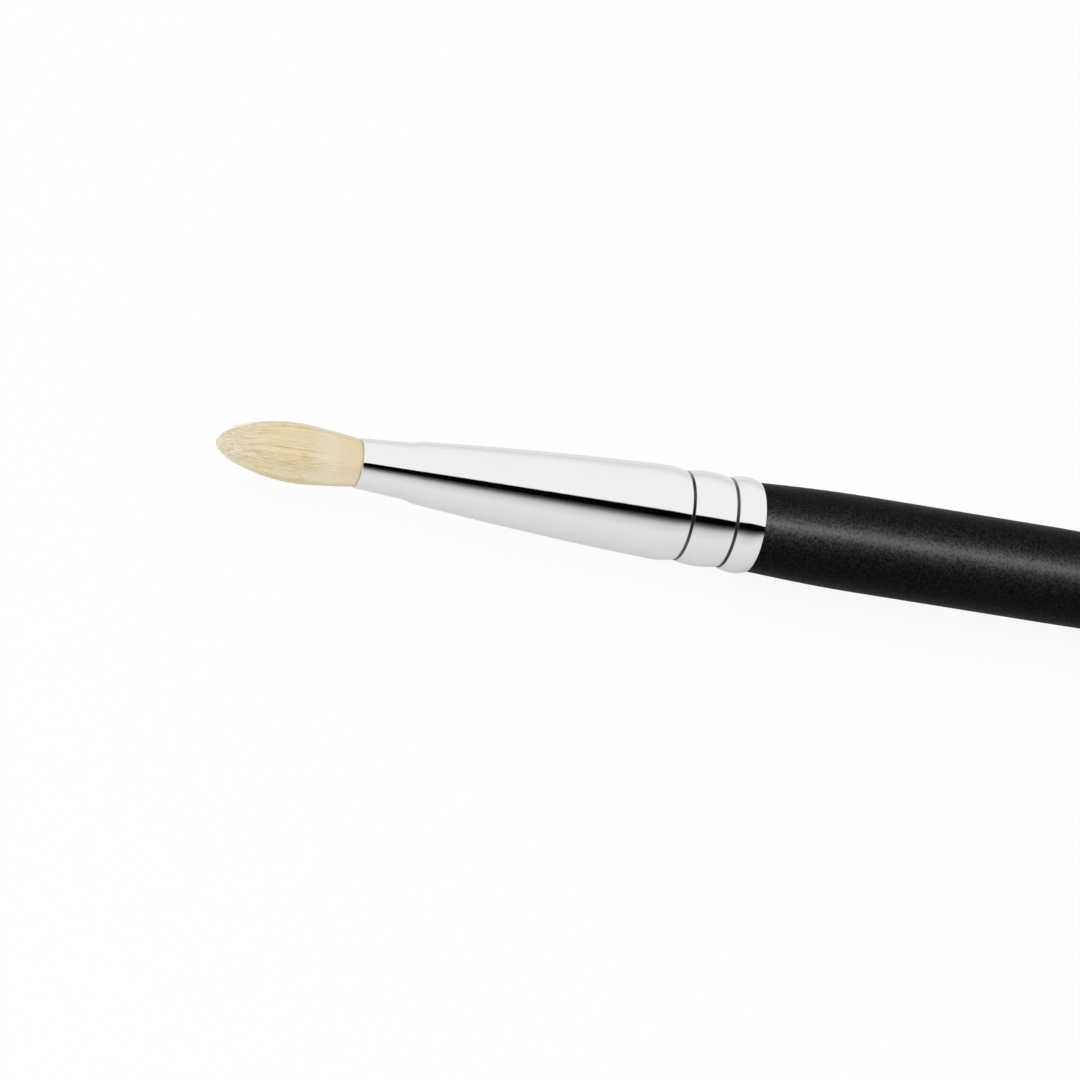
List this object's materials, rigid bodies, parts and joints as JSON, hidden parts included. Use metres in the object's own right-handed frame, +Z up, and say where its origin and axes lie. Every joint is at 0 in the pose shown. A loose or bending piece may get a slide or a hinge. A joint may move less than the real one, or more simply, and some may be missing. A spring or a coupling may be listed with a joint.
{
  "type": "eyeshadow brush",
  "caption": "Slim make-up brush with a small domed tuft of cream hair, a tapered bright metal ferrule with crimp grooves and a tapered black lacquered wooden handle.",
  "frame": {"origin": "on the ground under the middle of the brush's length, with the brush lying on its side", "axes": "+X along the brush towards the handle's tail, so the hair points to -X; +Z up"},
  "size_m": [0.172, 0.0082, 0.0083],
  "materials": {
    "black_lacquered_wood": "satin black lacquer over turned wood",
    "plated_brass": "polished nickel plate over drawn brass tube",
    "cream_hair": "fine straight cream hair",
    "binding_thread": "waxed off-white thread",
    "cast_resin": "cast amber epoxy resin",
    "wood_glue": "set cream wood glue"
  },
  "bodies": {
    "root": {"handle": "black_lacquered_wood", "ferrule": "plated_brass", "hair_tuft": "cream_hair", "binding_thread": "binding_thread", "resin_plug": "cast_resin", "tenon_glue": "wood_glue"}
  },
  "joints": []
}
